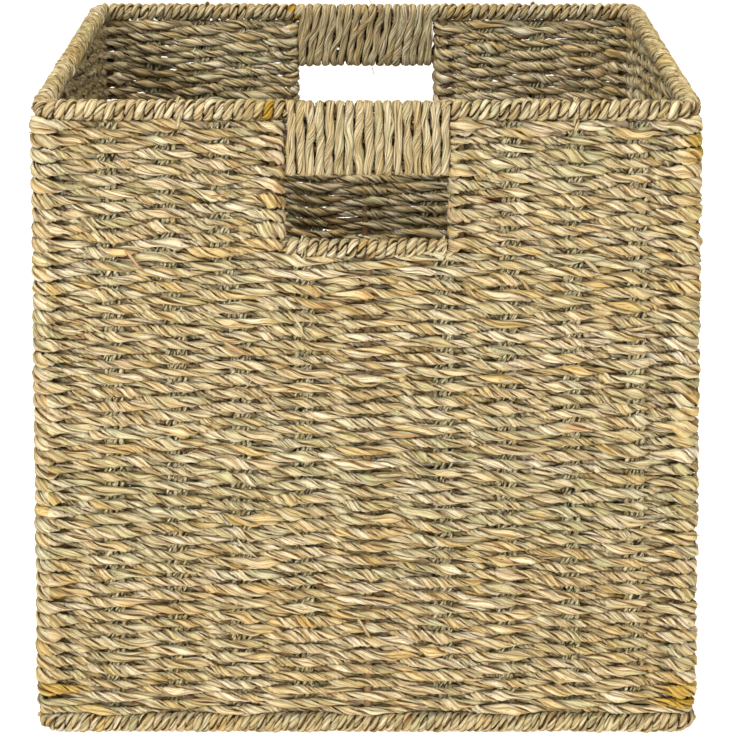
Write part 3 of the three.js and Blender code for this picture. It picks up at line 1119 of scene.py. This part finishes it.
def tie(wall, u, z, target):
    """A warp's end brought over a binding and tucked under the first rows."""
    t = np.linspace(0, 1, 16)
    angle = np.pi * 0.62 * (1 - t)
    reach = BINDING_RADIUS + 0.1
    depth = reach * np.cos(np.clip(angle - 0.12, 0, None)) - 3.0 * t**4
    rise = z + reach * np.sin(angle) - 9.5 * t**2
    place = np.full_like(t, u)
    scale = flare(rise)
    path = np.stack([place * scale, -(RIM_HALF * scale + depth), rise], axis=-1)
    out = np.stack([0 * t, -np.cos(angle), np.sin(angle)], axis=-1)
    path, out = both_turned(path, out, wall)
    rope(path, out, all_in(target, len(t)), 0.8, 0.6, 12, width=1.25, unrest=0.2)


def tie_ends():
    for wall in range(4):
        places = wall_warps(wall)
        for number in (1, 7):
            if wall % 2 == 0:
                side = "left" if (number == 1) == (wall == 0) else "right"
                node = f"{WALLS[wall]}_rim_wrap_{side}"
            else:
                node = f"{WALLS[wall]}_rim_wrap"
            tie(wall, places[number] + 1.5, RIM_Z, binding(node))
        if wall % 2 == 0:
            for number in (3, 5):
                tie(wall, places[number], SILL_Z, binding(f"{WALLS[wall]}_sill_wrap"))


# --- bindings ---


def resampled(distance, values, at):
    return np.stack([np.interp(at, distance, values[:, k]) for k in range(values.shape[1])], axis=-1)


TURN_STEPS = 20


def wound_on(core, out, pitch, radius):
    """The left-handed path of a cord wound round a core, with its outward directions."""
    length = distances(core)
    turns = max(1, round(length[-1] / pitch))
    at = np.linspace(0, length[-1], turns * TURN_STEPS + 1)
    uneven = smooth_noise(at, 14, length[-1], 0.22)
    angle = -2 * np.pi * (turns * at / length[-1]) + uneven
    centre = resampled(length, core, at)
    facing = unit(resampled(length, out, at))
    tangent = unit(np.gradient(centre, axis=0))
    up = np.cross(tangent, facing)
    radial = np.cos(angle)[:, None] * facing + np.sin(angle)[:, None] * up
    return centre + radius * radial, radial


WOUND_RADIUS = BINDING_RADIUS - 1.9


def bind(core, out, target, pitch=4.6, lay=15, ochre=None):
    """Winds a cord round a wire. ochre is the number of one strongly coloured turn, counted back
    from the end where it is negative."""
    path, radial = wound_on(core, out, pitch, WOUND_RADIUS)
    colour = np.broadcast_to(OCHRE, (len(path), 4)).copy()
    colour[:, 3] = 0
    if ochre is not None:
        turn = np.arange(len(path)) / TURN_STEPS
        wanted = ochre if ochre > 0 else turn[-1] + ochre
        colour[:, 3] = np.where(np.abs(turn - wanted) < 0.5, 0.95, 0.0)
    rope(
        path,
        radial,
        all_in(target, len(path)),
        ply_radius=1.36,
        orbit=1.0,
        pitch=lay,
        flat_out=0.88,
        flat_across=1.06,
        unrest=0.7,
        tint=colour,
        # depth gives painted shade to the sides of each turn, in the gaps between the turns.
        depth=np.full(len(path), 0.3),
        spliced=0.6,
    )
    fringe(target, path, radial, max(2, len(path) // 220))


def ring_part(half, z, wall, low, high):
    """Part of a ring on one wall, from u=low to high; past a straight's end it takes the corner."""
    straight = half - CORNER_RADIUS
    u = np.linspace(max(low, -straight), min(high, straight), 200)
    line = np.stack([u, np.full_like(u, -half), np.full_like(u, z)], axis=-1)
    facing = alike(FORWARD, len(u))
    parts, ways = [line], [facing]
    angles = np.linspace(0, np.pi / 2, 16)
    for side, wanted in ((-1, low < -straight), (1, high > straight)):
        if not wanted:
            continue
        way = facing_at(side * angles)
        turn = CORNER_RADIUS * way + np.array([side * straight, -straight, z])
        if side < 0:
            parts.insert(0, turn[:0:-1])
            ways.insert(0, way[:0:-1])
        else:
            parts.append(turn[1:])
            ways.append(way[1:])
    return both_turned(np.concatenate(parts), np.concatenate(ways), wall)


OCHRE_TURNS = {"front_rim_wrap_left": -2, "back_rim_wrap_left": 1}


def bind_edges():
    beyond = 2 * RIM_HALF
    for wall, name in enumerate(WALLS):
        if wall % 2 == 0:
            left, right = ("left", "right") if wall == 0 else ("right", "left")
            for side, low, high in ((left, -beyond, 2.6 - HOLE_HALF), (right, HOLE_HALF - 2.6, beyond)):
                node = f"{name}_rim_wrap_{side}"
                part = ring_part(RIM_HALF, RIM_Z, wall, low, high)
                bind(*part, binding(node), ochre=OCHRE_TURNS.get(node))
            reach = beyond
        else:
            reach = RIM_HALF - CORNER_RADIUS
            bind(*ring_part(RIM_HALF, RIM_Z, wall, -reach, reach), binding(f"{name}_rim_wrap"))
            reach = BASE_HALF - CORNER_RADIUS
        part = ring_part(BASE_HALF, BASE_Z, wall, -reach, reach)
        bind(*part, binding(f"{name}_base_wrap"), pitch=3.9, lay=14)


def racetrack(u, pitch, low_z, high_z, radius):
    """One turn of cord round two level wires: under the lower one, up the outside, over the upper
    one and down the inside, where it moves on to the next turn."""
    angles = np.linspace(0, np.pi, 12)
    rise = np.linspace(low_z, high_z, 18)[1:-1]
    flat = np.full(len(rise), radius)
    depth = np.concatenate([-radius * np.cos(angles), flat, radius * np.cos(angles), -flat])
    z = [low_z - radius * np.sin(angles), rise, high_z + radius * np.sin(angles), rise[::-1]]
    z = np.concatenate(z)
    x = u + pitch * np.concatenate([np.zeros(len(z) - len(rise)), np.linspace(0, 1, len(rise) + 1)[:-1]])
    out = np.stack([0 * z, -depth, z - np.clip(z, low_z, high_z)], axis=-1)
    return np.stack([x, -depth, z], axis=-1), out


HANDLE_TINT = srgb(168, 154, 120)
HANDLE_TURNS = 17
HANDLE_ASIDE = 0.9  # how far a handle's cords stand to the right of the hole's middle


def bind_handle(wall, name):
    """The handle band: upright cords, hardly twisted, round the rim wire and the handle wire."""
    reach = HOLE_HALF - 3.0
    pitch = 2 * reach / (HANDLE_TURNS - 1)
    points, ways = [], []
    for i in range(-1, HANDLE_TURNS):
        on = pitch if 0 <= i < HANDLE_TURNS - 1 else 0
        start = HANDLE_ASIDE - reach + max(i, 0) * pitch
        path, out = racetrack(start, on, HANDLE_Z, RIM_Z, WOUND_RADIUS + 0.3)
        if i < 0:
            path, out = path[-18:], out[-18:]
        points.append(path)
        ways.append(out)
    path, out = np.concatenate(points), np.concatenate(ways)
    distance = distances(path)
    path[:, 0] += smooth_noise(distance, 30, distance[-1], 0.5)
    path[:, 1] -= RIM_HALF * flare(path[:, 2])
    waist = 1.15 + smooth_noise(distance, 19, distance[-1], 0.14)
    target = binding(f"{name}_handle_wrap")
    path, out = both_turned(path, out, wall)
    rope(
        path,
        out,
        all_in(target, len(path)),
        ply_radius=0.98,
        orbit=0.9,
        plies=3,
        blades=4,
        pitch=40,
        width=1.3,
        flat_out=0.74,
        flat_across=waist,
        tint=np.broadcast_to((*HANDLE_TINT[:3], 0.5), (len(path), 4)),
        # depth gives painted shade to the sides of the cords, in the gaps between them.
        depth=np.full(len(path), 0.25),
        unrest=1.6,
        spliced=0.6,
    )
    fringe(target, path, unit(out), 16, length=5.0)
    fill_handle(wall, target)


def fill_handle(wall, target):
    """Level cords between the two faces of a handle, that keep it stiff."""
    cords = 5
    u = np.linspace(2.5 - HOLE_HALF, HOLE_HALF - 2.5, 30)
    for i in range(cords):
        z = np.full_like(u, HANDLE_Z + (i + 0.5) * (RIM_Z - HANDLE_Z) / cords)
        path = np.stack([u, -RIM_HALF * flare(z), z], axis=-1)
        path, out = both_turned(path, alike(FORWARD, len(u)), wall)
        # depth 0 gives painted shade to the sides of these cords.
        rope(path, out, all_in(target, len(u)), 1.5, 1.0, 20, flat_out=0.7, depth=0 * u)


def bind_sill(wall, name):
    half = HOLE_HALF + 0.5
    u = np.linspace(-half, half, 60)
    core = np.stack([u, 0 * u - RIM_HALF * flare(SILL_Z), 0 * u + SILL_Z], axis=-1)
    core, out = both_turned(core, alike(FORWARD, len(u)), wall)
    bind(core, out, binding(f"{name}_sill_wrap"), pitch=4.5, lay=11)


# --- base ---


BASE_LEVEL = 4.5  # height of the middle of the base weave
BASE_OVER = 2.5  # how far a base row swings up and down over the warps
BASE_TUCK = 1.5  # how far the base rows run into the bottom binding


def base_row_places(half):
    """Rows that fill the gaps between the bundles that cross the base from left to right."""
    edges = [-half]
    for place in CROSS_PLACES:
        edges += [place * flare(0) - 0.28 * WARP_WIDTH, place * flare(0) + 0.28 * WARP_WIDTH]
    edges.append(half)
    places = []
    for low, high in zip(edges[::2], edges[1::2]):
        count = round((high - low) / 3.0)
        places += [low + (i + 0.5) * (high - low) / count for i in range(count)]
    return places


def base_row(u, y, rise):
    """One cord across the base at y, that rises and sinks along u. The base is in three pieces."""
    third = 1 + int(3 * (y + BASE_HALF) / (2 * BASE_HALF))
    path = np.stack([u, np.full_like(u, y), BASE_LEVEL + rise], axis=-1)
    out = alike((0, 0, -1), len(u))
    labels = all_in(piece(f"base_weft_{third}", "seagrass_weft", "base_weave"), len(u))
    # depth gives painted shade to the parts of each row that lie near the middle of the base, between
    # the warps.
    rope(path, out, labels, 1.25, 0.9, 24, flat_out=0.78, flat_across=1.15, depth=-rise, spliced=0.4)


def weave_base():
    """Rows from left to right, over and under the front-to-back warps, and one row under each
    bundle that crosses the base."""
    half = BASE_HALF - BINDING_RADIUS + BASE_TUCK
    warps = sorted([*LONG_PLACES, CENTRE_WIRE])
    u = np.linspace(-half, half, 120)
    for row, y in enumerate(base_row_places(half)):
        stations = [(-half, 0.0, 1.0)]
        for k, place in enumerate(warps):
            sign = 1 if (k + row) % 2 else -1
            stations.append((place * flare(0), sign * BASE_OVER, 3.0))
        stations.append((half, 0.0, 1.0))
        base_row(u, y, wave(u, stations))
    for place in CROSS_PLACES:
        base_row(u, place * flare(0), np.full_like(u, 0.2 - BASE_OVER))


# --- making it ---

weave_walls()
scatter_blades()
weave_warps()
bind_edges()
for hole_wall, hole_name in ((0, "front"), (2, "back")):
    bind_handle(hole_wall, hole_name)
    bind_sill(hole_wall, hole_name)
tie_ends()
weave_base()
for made in PIECES.values():
    made.build()

for subpart in frame["record"]["subparts"]:
    wire = bpy.data.objects.get(subpart["node"])
    if wire is not None and subpart["material_slot"] == "frame_wire":
        for material_slot in wire.material_slots:
            material_slot.material = MATERIALS["frame_wire"]
